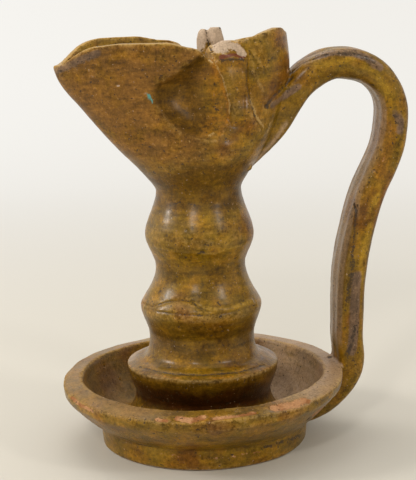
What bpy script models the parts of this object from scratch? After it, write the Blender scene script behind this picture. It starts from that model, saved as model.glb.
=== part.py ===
import math

import bmesh
import bpy
from mathutils import Vector

# Glazed lamp on a high foot: drip saucer, turned stem, pinched bowl and strap handle, fired as one piece.
# Metres, +Z up. The spout points to -X and the handle to +X.

# Saucer
BASE_RADIUS = 0.0450
BASE_EDGE = 0.0022
BODY_HEIGHT = 0.0095
FLARE_HEIGHT = 0.0155
LIP_EDGE = 0.0040
RIM_RADIUS = 0.0615
LEDGE_WIDTH = 0.0085
LEDGE_DROP = 0.0014
SAUCER_WALL = 0.0045
FLOOR_THICKNESS = 0.0090
FLOOR_RING = 0.0020
RIM_WARP = 0.0024
WARP_HEADING = math.radians(50)

# Stem, as a radius at each waist and swelling and the length from one to the next
FOOT_RADIUS = 0.0350
FOOT_LENGTH = 0.0140
COLLAR_WAIST_RADIUS = 0.0296
COLLAR_LENGTH = 0.0123
COLLAR_RADIUS = 0.0333
COLLAR_LEDGE = 0.0056
COLLAR_RISE = 0.0024
LOW_WAIST_RADIUS = 0.0227
LOW_WAIST_LENGTH = 0.0100
LOW_SWELL_RADIUS = 0.0264
LOW_SWELL_LENGTH = 0.0135
MID_WAIST_RADIUS = 0.0194
MID_WAIST_LEAN = 0.72
MID_WAIST_LENGTH = 0.0172
HIGH_SWELL_RADIUS = 0.0235
HIGH_SWELL_LENGTH = 0.0134
NECK_RADIUS = 0.0182
NECK_LENGTH = 0.0195

# Bowl, as thrown and then as pulled and pinched
BOWL_RADIUS = 0.0390
BOWL_DEPTH = 0.0580
WALL = 0.0038
SPOUT_REACH = 0.0600
SPOUT_DIP = 0.0065
SPOUT_RISE = 0.0028
FAR_RISE = 0.0018
REAR_RISE = 0.0105
REAR_BELLY = 0.0040
LOBE_SHARE = 0.66
PINCH_PLACE = 0.0090
PINCH_GAP = 0.0012
PINCH_WIDTH = 0.0085
PINCH_DIP = 0.0030
PINCH_FOOT = 0.0174
PINCH_RUN = 0.0290
THUMB_RADIUS = 0.0178
THUMB_DEPTH = 0.0080
THUMB_PLACE = -0.0030
THUMB_BELOW_RIM = 0.0160

# Pleats that the two pinches leave standing outside the bowl
PLEAT_THICKNESS = 0.0084
PLEAT_DEPTH = 0.0150
PLEAT_LEAN = 0.0065
NEAR_PLEAT_RISE = 0.0040
FAR_PLEAT_RISE = 0.0095
FAR_SLIT_PLACE = 0.0044
FAR_SLIT_WIDTH = 0.0014
FAR_FRONT_THICKNESS = 0.0034
FAR_BACK_THICKNESS = 0.0060

# Strap handle
STRAP_WIDTH = 0.0190
STRAP_THICKNESS = 0.0132
STRAP_EDGE = 0.0042
STRAP_REACH = 0.0855

# Fineness of the solid
TURNS = 48
BOWL_ROWS = 14

FLARE_TOP = BODY_HEIGHT + FLARE_HEIGHT
RIM_HEIGHT = FLARE_TOP + LIP_EDGE + LEDGE_DROP
FOOT_HEIGHT = FLOOR_THICKNESS + FOOT_LENGTH
COLLAR_HEIGHT = FOOT_HEIGHT + COLLAR_LENGTH
COLLAR_TOP = COLLAR_HEIGHT + COLLAR_RISE
LOW_WAIST_HEIGHT = COLLAR_TOP + LOW_WAIST_LENGTH
LOW_SWELL_HEIGHT = LOW_WAIST_HEIGHT + LOW_SWELL_LENGTH
MID_WAIST_HEIGHT = LOW_SWELL_HEIGHT + MID_WAIST_LENGTH
HIGH_SWELL_HEIGHT = MID_WAIST_HEIGHT + HIGH_SWELL_LENGTH
NECK_HEIGHT = HIGH_SWELL_HEIGHT + NECK_LENGTH
BOWL_HEIGHT = NECK_HEIGHT + BOWL_DEPTH


def clear_scene():
    for obj in list(bpy.data.objects):
        bpy.data.objects.remove(obj)


def collection_named(name):
    found = bpy.data.collections.new(name)
    bpy.context.scene.collection.children.link(found)
    return found


def glaze():
    material = bpy.data.materials.new("ochre_lead_glaze")
    material.use_nodes = True
    shader = material.node_tree.nodes["Principled BSDF"]
    shader.inputs["Base Color"].default_value = (0.28, 0.15, 0.03, 1.0)
    shader.inputs["Roughness"].default_value = 0.3
    shader.inputs["Metallic"].default_value = 0.0
    return material


def lerp(low, high, share):
    return low + (high - low) * share


def ease(share):
    held = min(max(share, 0.0), 1.0)
    return held * held * (3 - 2 * held)


def swelling(start, end, lean=1.0, steps=5):
    # A flowing stretch from one waist or swelling to the next; a lean under 1 hurries its first half
    points = []
    for step in range(steps):
        share = step / steps
        radius = lerp(start[0], end[0], ease(share**lean))
        points.append((radius, lerp(start[1], end[1], share)))
    return points


def bend(start, corner, end, steps=4):
    # A round stretch between two points, drawn towards the corner where their straight lines meet
    points = []
    for step in range(steps + 1):
        share = step / steps
        weights = ((1 - share) ** 2, 2 * share * (1 - share), share**2)
        radius = sum(w * p[0] for w, p in zip(weights, (start, corner, end)))
        height = sum(w * p[1] for w, p in zip(weights, (start, corner, end)))
        points.append((radius, height))
    return points


def saucer_and_stem_outline():
    # From the middle of the stem's top down the stem, out over the saucer and under it to the middle
    neck = (NECK_RADIUS, NECK_HEIGHT)
    high_swell = (HIGH_SWELL_RADIUS, HIGH_SWELL_HEIGHT)
    mid_waist = (MID_WAIST_RADIUS, MID_WAIST_HEIGHT)
    low_swell = (LOW_SWELL_RADIUS, LOW_SWELL_HEIGHT)
    low_waist = (LOW_WAIST_RADIUS, LOW_WAIST_HEIGHT)
    collar_inner = (COLLAR_RADIUS - COLLAR_LEDGE, COLLAR_TOP)
    collar_edge = (COLLAR_RADIUS, COLLAR_HEIGHT)
    collar_waist = (COLLAR_WAIST_RADIUS, FOOT_HEIGHT)
    foot = (FOOT_RADIUS, FLOOR_THICKNESS)
    ledge_inner = (RIM_RADIUS - LEDGE_WIDTH, RIM_HEIGHT)
    ledge_outer = (RIM_RADIUS, FLARE_TOP + LIP_EDGE)
    floor_edge = (FOOT_RADIUS + FLOOR_RING, FLOOR_THICKNESS)
    inner_wall = (ledge_inner[0] - SAUCER_WALL, FLOOR_THICKNESS + SAUCER_WALL * 0.7)
    flare_top = (RIM_RADIUS - BASE_EDGE / 4, FLARE_TOP)
    flare_corner = (lerp(BASE_RADIUS, RIM_RADIUS, 0.35), lerp(BODY_HEIGHT, FLARE_TOP, 0.2))
    body_top = (BASE_RADIUS + BASE_EDGE / 4, BODY_HEIGHT)

    outline = [(0.0, NECK_HEIGHT + WALL / 2), (NECK_RADIUS - WALL / 2, NECK_HEIGHT + WALL / 2)]
    outline += swelling(neck, high_swell)
    outline += swelling(high_swell, mid_waist)
    outline += [(radius, height) for radius, height in reversed(swelling(low_swell, mid_waist, MID_WAIST_LEAN))]
    outline += swelling(low_swell, low_waist)[1:]
    outline += bend(low_waist, (LOW_WAIST_RADIUS, COLLAR_TOP), collar_inner, 5)
    outline += bend(collar_edge, (COLLAR_RADIUS, lerp(COLLAR_HEIGHT, FOOT_HEIGHT, 0.3)), collar_waist, 4)
    outline += bend(collar_waist, (COLLAR_WAIST_RADIUS, lerp(FOOT_HEIGHT, FLOOR_THICKNESS, 0.7)), foot)[1:]
    outline += bend(floor_edge, inner_wall, ledge_inner, 5)
    outline += [ledge_outer, flare_top]
    outline += bend(flare_top, flare_corner, body_top)[1:]
    outline += bend((BASE_RADIUS, BASE_EDGE), (BASE_RADIUS, 0.0), (BASE_RADIUS - BASE_EDGE, 0.0), 3)
    outline.append((0.0, 0.0))
    return outline


def object_of(name, data, holder):
    obj = bpy.data.objects.new(name, data)
    holder.objects.link(obj)
    return obj


def turned(name, outline, holder):
    mesh = bpy.data.meshes.new(name)
    points = [(radius, 0.0, height) for radius, height in outline]
    mesh.from_pydata(points, [(i, i + 1) for i in range(len(points) - 1)], [])
    obj = object_of(name, mesh, holder)
    screw = obj.modifiers.new("turn", "SCREW")
    screw.steps = TURNS
    screw.render_steps = TURNS
    screw.use_merge_vertices = True
    screw.merge_threshold = 0.00001
    return obj


def settled(obj):
    # The object's evaluated shape as plain mesh data, in world place
    graph = bpy.context.evaluated_depsgraph_get()
    mesh = bpy.data.meshes.new_from_object(obj.evaluated_get(graph))
    mesh.transform(obj.matrix_world)
    obj.modifiers.clear()
    if obj.type == "MESH":
        obj.data = mesh
        obj.matrix_world.identity()
        return obj
    name = obj.name
    holder = obj.users_collection[0]
    bpy.data.objects.remove(obj)
    return object_of(name, mesh, holder)


def facing_out(obj):
    bm = bmesh.new()
    bm.from_mesh(obj.data)
    bmesh.ops.remove_doubles(bm, verts=bm.verts, dist=0.00001)
    bmesh.ops.recalc_face_normals(bm, faces=bm.faces)
    bm.to_mesh(obj.data)
    bm.free()
    return obj


def warped_saucer(obj):
    # The saucer slumped in drying: its rim stands higher behind the handle than before the spout
    for vertex in obj.data.vertices:
        radius = math.hypot(vertex.co.x, vertex.co.y)
        share = ease((radius - BASE_RADIUS) / (RIM_RADIUS - BASE_RADIUS))
        heading = math.atan2(vertex.co.y, vertex.co.x) - WARP_HEADING
        vertex.co.z += RIM_WARP * share * math.cos(heading)


def thrown_bowl_outline():
    # The bowl's outside as it left the wheel, from the middle of its floor to its rim
    start = Vector((NECK_RADIUS, NECK_HEIGHT))
    flare = start + Vector((0.0, BOWL_DEPTH * 0.10))
    belly = start + Vector(((BOWL_RADIUS - NECK_RADIUS) * 0.76, BOWL_DEPTH * 0.31))
    rim = Vector((BOWL_RADIUS, BOWL_HEIGHT))
    outline = [(0.0, NECK_HEIGHT), (NECK_RADIUS * 0.6, NECK_HEIGHT)]
    for row in range(BOWL_ROWS):
        share = row / (BOWL_ROWS - 1)
        rest = 1 - share
        point = start * rest**3 + flare * 3 * share * rest**2 + belly * 3 * share**2 * rest + rim * share**3
        outline.append(tuple(point))
    return outline


def rim_lift(x, far):
    # Rise and fall of the rim along the bowl: low at the spout's tip and at the pinch, high behind
    spout = SPOUT_RISE * ease(-x / PINCH_WIDTH + 0.5)
    spout -= SPOUT_DIP * ease((-x - SPOUT_REACH * 0.5) / (SPOUT_REACH * 0.5)) ** 2
    spout += FAR_RISE * far * ease(2 - abs(x + SPOUT_REACH * 0.6) / (SPOUT_REACH * 0.2))
    behind = max((x - PINCH_PLACE) / (BOWL_RADIUS - PINCH_PLACE), 0.0)
    rear = REAR_RISE * ease(behind * 5) * lerp(0.3, 1.0, behind)
    corner = -REAR_BELLY * ease((behind - 0.8) / 0.2)
    dip = -PINCH_DIP * math.exp(-(((x - PINCH_PLACE + PINCH_WIDTH / 2) / PINCH_WIDTH) ** 2))
    return spout + rear + corner + dip


def thumb_press(x, height):
    # Depth of the round hollow that a thumb left before the pinch: a sharp crease all round, deepest in the middle
    middle = BOWL_HEIGHT - THUMB_BELOW_RIM
    away = ((x - THUMB_PLACE) ** 2 + (height - middle) ** 2) / THUMB_RADIUS**2
    return THUMB_DEPTH * max(1 - away, 0.0)


def pinched(point):
    # Where a point of the thrown bowl ends up once the spout is pulled and the sides are pinched
    above_neck = min(max(point.z - NECK_HEIGHT, 0.0), BOWL_DEPTH)
    height = above_neck / BOWL_DEPTH
    heading = math.atan2(point.y, point.x)
    front = max(-math.cos(heading), 0.0) ** 1.5
    back = max(math.cos(heading), 0.0) ** 2
    pull = math.sin(height * math.pi / 2) * front
    x = point.x * (1 + (SPOUT_REACH / BOWL_RADIUS - 1) * pull)
    x += REAR_BELLY * back * math.sin(math.pi * height**1.5)
    lobe = 1 - (1 - LOBE_SHARE) * ease(height * 1.25)
    closed = WALL + PINCH_GAP
    side = math.sqrt(BOWL_RADIUS**2 - PINCH_PLACE**2)
    near = math.exp(-(((x - PINCH_PLACE) / PINCH_WIDTH) ** 2))
    pinch = (LOBE_SHARE - closed / side) * near * ease((above_neck - PINCH_FOOT) / PINCH_RUN)
    y = point.y * (lobe - pinch)
    far = ease(0.5 + point.y / BOWL_RADIUS)
    z = point.z + rim_lift(x, far) * height**1.5
    press = min(thumb_press(x, z), max(abs(y) - closed, 0.0) * 0.8)
    return Vector((x, y - math.copysign(press, y), z))


def bowl_skin(name, holder):
    # The outside of the bowl as one open surface, with its normals outward
    obj = settled(turned(name, thrown_bowl_outline(), holder))
    facing_out(obj)
    for vertex in obj.data.vertices:
        vertex.co = pinched(vertex.co)
    return obj


def bowl(holder):
    obj = bowl_skin("bowl", holder)
    shell = obj.modifiers.new("wall", "SOLIDIFY")
    shell.thickness = WALL
    shell.offset = -1.0
    shell.use_even_offset = True
    shell.thickness_clamp = 0.0
    return facing_out(settled(obj))


def bowl_room(holder):
    # The bowl's inside from the middle of its wall, carried up past the rim: no other piece may enter it
    obj = bowl_skin("bowl_room", holder)
    inset = obj.modifiers.new("inset", "DISPLACE")
    inset.strength = -WALL / 2
    inset.mid_level = 0.0
    settled(obj)
    bm = bmesh.new()
    bm.from_mesh(obj.data)
    rim = [edge for edge in bm.edges if edge.is_boundary]
    raised = bmesh.ops.extrude_edge_only(bm, edges=rim)["geom"]
    top = BOWL_HEIGHT + BOWL_DEPTH / 2
    for vertex in raised:
        if isinstance(vertex, bmesh.types.BMVert):
            vertex.co.z = top
    bmesh.ops.contextual_create(bm, geom=[item for item in raised if isinstance(item, bmesh.types.BMEdge)])
    bm.to_mesh(obj.data)
    bm.free()
    obj.hide_render = True
    obj.display_type = "WIRE"
    return facing_out(obj)


def strap_section(name, width, thickness, edge, holder):
    # A closed outline with rounded corners, carried along a path
    curve = bpy.data.curves.new(name, "CURVE")
    curve.dimensions = "2D"
    spline = curve.splines.new("POLY")
    corners = []
    for index, (across, along) in enumerate(((1, 1), (-1, 1), (-1, -1), (1, -1))):
        for step in range(3):
            angle = math.radians(90 * index + 45 * step)
            x = across * (width / 2 - edge) + edge * math.cos(angle)
            y = along * (thickness / 2 - edge) + edge * math.sin(angle)
            corners.append((x, y))
    spline.points.add(len(corners) - 1)
    for point, (x, y) in zip(spline.points, corners):
        point.co = (x, y, 0.0, 1.0)
    spline.use_cyclic_u = True
    section = object_of(name, curve, holder)
    section.hide_render = True
    return section


def swept(name, section, path, fineness, holder):
    # The section carried along a smooth path of (place, size) pairs
    curve = bpy.data.curves.new(name, "CURVE")
    curve.dimensions = "3D"
    curve.twist_mode = "MINIMUM"
    curve.bevel_mode = "OBJECT"
    curve.bevel_object = section
    curve.use_fill_caps = True
    spline = curve.splines.new("BEZIER")
    spline.resolution_u = fineness
    spline.bezier_points.add(len(path) - 1)
    for point, (place, size) in zip(spline.bezier_points, path):
        point.co = place
        point.radius = size
        point.handle_left_type = "AUTO"
        point.handle_right_type = "AUTO"
    return facing_out(settled(object_of(name, curve, holder)))


def handle(holder, helpers):
    # Up the bowl's back, over in an arch, down in a slack double curve and under the saucer's rim
    half = STRAP_THICKNESS / 2
    low = RIM_HEIGHT
    high = BOWL_HEIGHT
    foot_x = RIM_RADIUS + half * 0.6
    path = (
        ((NECK_RADIUS + half * 0.6, 0.0, NECK_HEIGHT + half * 1.2), 0.45),
        ((NECK_RADIUS + half * 2.2, 0.0, lerp(NECK_HEIGHT, high, 0.415)), 0.75),
        ((lerp(NECK_RADIUS, STRAP_REACH, 0.46), 0.0, high - half * 1.8), 1.0),
        ((lerp(NECK_RADIUS, STRAP_REACH, 0.71), 0.0, high - half * 1.1), 0.93),
        ((lerp(NECK_RADIUS, STRAP_REACH, 0.957), 0.0, lerp(low, high, 0.88)), 0.93),
        ((STRAP_REACH, 0.0, lerp(low, high, 0.735)), 1.0),
        ((lerp(foot_x, STRAP_REACH, 0.42), 0.0, lerp(low, high, 0.52)), 1.06),
        ((lerp(foot_x, STRAP_REACH, 0.10), 0.0, lerp(low, high, 0.335)), 1.05),
        ((foot_x, 0.0, lerp(low, high, 0.105)), 1.0),
        ((foot_x, 0.0, low - half * 0.4), 1.0),
        ((lerp(BASE_RADIUS, RIM_RADIUS, 0.75), 0.0, BODY_HEIGHT + half * 0.8), 0.8),
        ((BASE_RADIUS - BASE_EDGE, 0.0, half * 0.55 + BASE_EDGE / 2), 0.5),
    )
    section = strap_section("strap_section", STRAP_WIDTH, STRAP_THICKNESS, STRAP_EDGE, helpers)
    return swept("handle", section, path, 5, holder)


def pleat(name, side, place, thickness, rise, holder, helpers):
    # The doubled wall left standing where a side was pinched, from above the rim down to the belly
    top = BOWL_HEIGHT
    out = PLEAT_DEPTH / 2 + PINCH_GAP
    path = (
        ((place, side * out, top + rise), 0.95),
        ((place + PLEAT_LEAN * 0.1, side * out, lerp(NECK_HEIGHT, top, 0.9)), 1.0),
        ((place + PLEAT_LEAN * 0.5, side * (out + WALL * 0.6), lerp(NECK_HEIGHT, top, 0.66)), 0.86),
        ((place + PLEAT_LEAN, side * (out + WALL * 1.1), lerp(NECK_HEIGHT, top, 0.4)), 0.86),
        ((place + PLEAT_LEAN * 1.3, side * out, lerp(NECK_HEIGHT, top, 0.2)), 0.8),
    )
    section = strap_section(name + "_section", thickness, PLEAT_DEPTH, thickness * 0.38, helpers)
    return swept(name, section, path, 3, holder)


def with_boolean(obj, operation, other):
    change = obj.modifiers.new("change", "BOOLEAN")
    change.operation = operation
    change.solver = "EXACT"
    change.object = other
    return facing_out(settled(obj))


def build():
    clear_scene()
    parts = collection_named("high_footed_oil_lamp")
    helpers = collection_named("helpers")
    helpers.hide_render = True
    lamp = facing_out(settled(turned("lamp", saucer_and_stem_outline(), parts)))
    warped_saucer(lamp)
    added = [handle(parts, helpers)]
    added.append(pleat("near_pleat", -1, PINCH_PLACE, PLEAT_THICKNESS, NEAR_PLEAT_RISE, parts, helpers))
    far_layers = (("far_front", -1, FAR_FRONT_THICKNESS), ("far_back", 1, FAR_BACK_THICKNESS))
    for name, shift, thickness in far_layers:
        place = FAR_SLIT_PLACE + shift * (FAR_SLIT_WIDTH + thickness) / 2
        added.append(pleat(name, 1, place, thickness, FAR_PLEAT_RISE, parts, helpers))
    room = bowl_room(helpers)
    for piece in added:
        with_boolean(piece, "DIFFERENCE", room)
    for piece in [bowl(parts)] + added:
        with_boolean(lamp, "UNION", piece)
        bpy.data.objects.remove(piece)
    bpy.data.objects.remove(room)
    lamp.data.materials.append(glaze())


build()
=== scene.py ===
import math

import bpy
import numpy as np
from mathutils import Matrix, Vector, noise
from mathutils.bvhtree import BVHTree
from mathutils.kdtree import KDTree


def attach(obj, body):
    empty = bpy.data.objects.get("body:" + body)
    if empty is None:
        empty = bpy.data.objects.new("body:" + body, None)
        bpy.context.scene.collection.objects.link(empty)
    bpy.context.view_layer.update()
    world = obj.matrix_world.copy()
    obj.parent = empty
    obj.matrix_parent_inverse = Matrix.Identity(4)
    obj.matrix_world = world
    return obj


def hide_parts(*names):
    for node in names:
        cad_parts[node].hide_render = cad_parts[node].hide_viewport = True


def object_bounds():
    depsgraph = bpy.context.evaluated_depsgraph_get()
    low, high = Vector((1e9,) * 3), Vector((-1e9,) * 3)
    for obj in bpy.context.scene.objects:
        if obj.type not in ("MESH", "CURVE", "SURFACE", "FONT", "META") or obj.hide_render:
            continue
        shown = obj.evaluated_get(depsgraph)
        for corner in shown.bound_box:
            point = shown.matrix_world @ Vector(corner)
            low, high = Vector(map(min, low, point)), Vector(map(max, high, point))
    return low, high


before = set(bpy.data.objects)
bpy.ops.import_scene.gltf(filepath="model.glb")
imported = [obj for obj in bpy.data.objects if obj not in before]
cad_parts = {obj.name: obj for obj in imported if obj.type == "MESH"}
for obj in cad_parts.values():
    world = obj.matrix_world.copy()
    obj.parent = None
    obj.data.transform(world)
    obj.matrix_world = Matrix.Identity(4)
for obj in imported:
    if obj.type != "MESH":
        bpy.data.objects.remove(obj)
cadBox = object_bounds()

# Where the photo was taken from. Lengths in metres, angles in radians, the focal length in photo pixels
photoView = {
    "azimuth": math.radians(-10),
    "distance": 0.57563,
    "height": 0.20215,
    "pitch": 0.1948,
    "roll": 0.0224,
    "aside": 0.003546,
    "focal": 1356.0,
    "width": 416,
    "tall": 480,
    "sensor": 36.0,
}


def lerp(low, high, share):
    return low + (high - low) * share


def clamped(value, low=0.0, high=1.0):
    return min(max(value, low), high)


def ease(share):
    held = clamped(share)
    return held * held * (3 - 2 * held)


def easeAll(share):
    held = np.clip(share, 0.0, 1.0)
    return held * held * (3 - 2 * held)


def photoAxes():
    # The photo's right, down and forward directions
    level = Vector((math.cos(photoView["azimuth"]), math.sin(photoView["azimuth"]), 0.0))
    ahead = Vector((-level.y, level.x, 0.0))
    up = Vector((0.0, 0.0, 1.0))
    fall, rise = math.sin(photoView["pitch"]), math.cos(photoView["pitch"])
    forward = ahead * rise - up * fall
    upright = ahead * fall + up * rise
    turn, stay = math.sin(photoView["roll"]), math.cos(photoView["roll"])
    right = level * stay - upright * turn
    down = -level * turn - upright * stay
    eye = level * photoView["aside"] - ahead * photoView["distance"] + up * photoView["height"]
    return right, down, forward, eye


def photoRay(pixel):
    right, down, forward, eye = photoAxes()
    across = (pixel[0] - photoView["width"] / 2) / photoView["focal"]
    below = (pixel[1] - photoView["tall"] / 2) / photoView["focal"]
    return eye, (forward + right * across + down * below).normalized()


def treeOf(obj):
    corners = [vertex.co for vertex in obj.data.vertices]
    return BVHTree.FromPolygons(corners, [tuple(face.vertices) for face in obj.data.polygons])


def seenOn(tree, pixel):
    # The place and outward direction that a photo pixel shows, or nothing
    eye, ahead = photoRay(pixel)
    place, facing, face, distance = tree.ray_cast(eye, ahead)
    return place, facing


def seenAt(pixel, y):
    eye, ahead = photoRay(pixel)
    return eye + ahead * ((y - eye.y) / ahead.y)


def deselectAll():
    if bpy.context.object and bpy.context.object.mode != "OBJECT":
        bpy.ops.object.mode_set(mode="OBJECT")
    bpy.ops.object.select_all(action="DESELECT")


def pickOnly(obj):
    deselectAll()
    obj.select_set(True)
    bpy.context.view_layer.objects.active = obj


def editAll(obj):
    pickOnly(obj)
    bpy.ops.object.mode_set(mode="EDIT")
    bpy.ops.mesh.select_all(action="SELECT")


def applied(obj, kind, **settings):
    pickOnly(obj)
    change = obj.modifiers.new(kind.lower(), kind)
    for key, value in settings.items():
        setattr(change, key, value)
    bpy.ops.object.modifier_apply(modifier=change.name)
    return obj


def pointsOf(obj):
    points = np.empty(len(obj.data.vertices) * 3)
    obj.data.vertices.foreach_get("co", points)
    return points.reshape(-1, 3)


def setPoints(obj, points):
    obj.data.vertices.foreach_set("co", points.ravel())
    obj.data.update()


def turnedBody(name, outline, turns):
    # The outline is extruded point by point from one corner, then spun round the axis
    deselectAll()
    first = outline[0]
    bpy.ops.mesh.primitive_plane_add(size=0.001, location=(first[0], 0.0, first[1]))
    obj = bpy.context.object
    obj.name = name
    bpy.ops.object.transform_apply(location=True, rotation=True, scale=True)
    editAll(obj)
    bpy.ops.mesh.merge(type="CENTER")
    here = first
    for place in outline[1:]:
        step = (place[0] - here[0], 0.0, place[1] - here[1])
        bpy.ops.mesh.extrude_region_move(TRANSFORM_OT_translate={"value": step})
        here = place
    bpy.ops.mesh.select_all(action="SELECT")
    bpy.ops.mesh.spin(steps=turns, angle=math.tau, center=(0, 0, 0), axis=(0, 0, 1))
    bpy.ops.mesh.select_all(action="SELECT")
    bpy.ops.mesh.remove_doubles(threshold=0.00001)
    bpy.ops.mesh.normals_make_consistent(inside=False)
    bpy.ops.object.mode_set(mode="OBJECT")
    return obj


def swelling(start, end, steps, lean=1.0):
    return [
        (lerp(start[0], end[0], ease((i / steps) ** lean)), lerp(start[1], end[1], i / steps))
        for i in range(steps)
    ]


def bend(start, corner, end, steps):
    points = []
    for i in range(steps + 1):
        share = i / steps
        weights = ((1 - share) ** 2, 2 * share * (1 - share), share**2)
        places = list(zip(weights, (start, corner, end)))
        points.append(tuple(sum(weight * place[k] for weight, place in places) for k in (0, 1)))
    return points


saucer = {
    "baseRadius": 0.0450,
    "baseEdge": 0.0022,
    "bodyHeight": 0.0095,
    "flareTop": 0.0250,
    "lipEdge": 0.0040,
    "rimRadius": 0.0615,
    "ledgeWidth": 0.0085,
    "ledgeDrop": 0.0014,
    "wall": 0.0045,
    "floor": 0.0090,
    "floorRing": 0.0020,
    "warp": 0.0024,
    "warpHeading": math.radians(50),
}
saucer["rimHeight"] = saucer["flareTop"] + saucer["lipEdge"] + saucer["ledgeDrop"]

# Radius and height of each waist and swelling, from the saucer's floor up
stem = {
    "foot": (0.0372, 0.0094),
    "collarWaist": (0.0296, 0.0230),
    "collar": (0.0333, 0.0353),
    "collarTop": (0.0277, 0.0377),
    "lowWaist": (0.0227, 0.0477),
    "lowSwell": (0.0264, 0.0612),
    "midWaist": (0.0194, 0.0784),
    "highSwell": (0.0235, 0.0918),
    "neck": (0.0182, 0.1113),
    "midLean": 0.72,
}


def standOutline():
    s, t = saucer, stem
    overlap = 0.002
    fine = 14
    ledgeInner = (s["rimRadius"] - s["ledgeWidth"], s["rimHeight"])
    ledgeOuter = (s["rimRadius"], s["flareTop"] + s["lipEdge"])
    innerCorner = (ledgeInner[0] - s["wall"], s["floor"] + s["wall"] * 0.7)
    flareTop = (s["rimRadius"] - s["baseEdge"] / 4, s["flareTop"])
    flareCorner = (
        lerp(s["baseRadius"], s["rimRadius"], 0.35),
        lerp(s["bodyHeight"], s["flareTop"], 0.2),
    )
    bodyTop = (s["baseRadius"] + s["baseEdge"] / 4, s["bodyHeight"])
    outline = [(0.0, t["neck"][1] + overlap), (t["neck"][0] - overlap, t["neck"][1] + overlap)]
    outline += swelling(t["neck"], t["highSwell"], fine)
    outline += swelling(t["highSwell"], t["midWaist"], fine)
    outline += list(reversed(swelling(t["lowSwell"], t["midWaist"], fine, t["midLean"])))
    outline += swelling(t["lowSwell"], t["lowWaist"], fine)[1:]
    outline += bend(t["lowWaist"], (t["lowWaist"][0], t["collarTop"][1]), t["collarTop"], fine)
    collarCorner = (t["collar"][0], lerp(t["collar"][1], t["collarWaist"][1], 0.3))
    outline += bend(t["collar"], collarCorner, t["collarWaist"], fine)
    footCorner = (t["collarWaist"][0], lerp(t["collarWaist"][1], t["foot"][1], 0.5))
    outline += bend(t["collarWaist"], footCorner, t["foot"], fine)[1:]
    outline += bend((t["foot"][0] + s["floorRing"], s["floor"]), innerCorner, ledgeInner, fine)
    outline += [ledgeOuter, flareTop]
    outline += bend(flareTop, flareCorner, bodyTop, fine)[1:]
    baseEdge = (s["baseRadius"], s["baseEdge"])
    outline += bend(baseEdge, (s["baseRadius"], 0.0), (s["baseRadius"] - s["baseEdge"], 0.0), 5)
    outline.append((0.0, 0.0))
    return outline


def makeStand():
    stand = turnedBody("stand", standOutline(), 168)
    points = pointsOf(stand)
    radius = np.hypot(points[:, 0], points[:, 1])
    heading = np.arctan2(points[:, 1], points[:, 0])
    share = easeAll((radius - saucer["baseRadius"]) / (saucer["rimRadius"] - saucer["baseRadius"]))
    points[:, 2] += saucer["warp"] * share * np.cos(heading - saucer["warpHeading"])
    setPoints(stand, points)
    print("saucer and stem turned")
    return stand


bowl = {
    "radius": 0.0390,
    "depth": 0.0580,
    "wall": 0.0038,
    "spoutReach": 0.0600,
    "spoutDip": 0.0065,
    "spoutRise": 0.0044,
    "farRise": 0.0018,
    "rearRise": 0.0103,
    "nearRise": 0.0009,
    "nearFall": 0.0008,
    "rearStart": 0.35,
    "rearEnd": 1.15,
    "rearBelly": 0.0040,
    "farRear": 0.55,
    "nearTipPower": 4.0,
    "farTipPower": 2.8,
    "farRisePlace": (0.6, 0.2),
    "nearRisePlace": (0.42, 0.15),
    "nearFallPlace": (-0.016, 0.010),
    "lobeShare": 0.66,
    "pinchPlace": 0.0090,
    "pinchGap": 0.0012,
    "pinchWidth": 0.0085,
    "pinchNearFront": 0.0042,
    "pinchDip": 0.0030,
    "pinchFoot": 0.0174,
    "pinchRun": 0.0290,
}
bowl["bottom"] = stem["neck"][1]
bowl["top"] = bowl["bottom"] + bowl["depth"]


def thrownOutline(rows):
    start = Vector(stem["neck"])
    flare = start + Vector((0.0, bowl["depth"] * 0.10))
    belly = start + Vector(((bowl["radius"] - start.x) * 0.76, bowl["depth"] * 0.31))
    rim = Vector((bowl["radius"], bowl["top"]))
    floorSteps = 8
    outline = [(start.x * i / floorSteps, start.y) for i in range(floorSteps)]
    for row in range(rows):
        share = row / (rows - 1)
        rest = 1 - share
        point = start * rest**3 + flare * 3 * share * rest**2
        point = point + belly * 3 * share**2 * rest + rim * share**3
        outline.append(tuple(point))
    return outline


def rimLift(x, far):
    b = bowl
    reach, dip = b["spoutReach"], b["spoutDip"] + b["spoutRise"] * 0.4
    # The near side stays high almost to the tip, the far side falls sooner
    tip = ease((-x - reach * 0.5) / (reach * 0.5)) ** lerp(b["nearTipPower"], b["farTipPower"], far)
    spout = b["spoutRise"] * ease(-x / b["pinchWidth"] + 0.5)
    spout -= dip * tip
    for side, share in (("far", far), ("near", 1 - far)):
        middle, half = b[side + "RisePlace"]
        spout += b[side + "Rise"] * share * ease(2 - abs(x + reach * middle) / (reach * half))
    start, run = b["nearFallPlace"]
    spout -= b["nearFall"] * (1 - far) * ease((x - start) / run) * ease((b["pinchPlace"] - x) / 0.004)
    behind = max((x - b["pinchPlace"]) / (b["radius"] - b["pinchPlace"]), 0.0)
    rear = b["rearRise"] * ease(behind * 5) * lerp(b["rearStart"], b["rearEnd"], behind)
    rear *= lerp(1.0, b["farRear"], far)
    corner = -b["rearBelly"] * ease((behind - 0.8) / 0.2)
    fold = (x - b["pinchPlace"] + b["pinchWidth"] / 2) / b["pinchWidth"]
    return spout + rear + corner - b["pinchDip"] * math.exp(-(fold**2))


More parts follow.
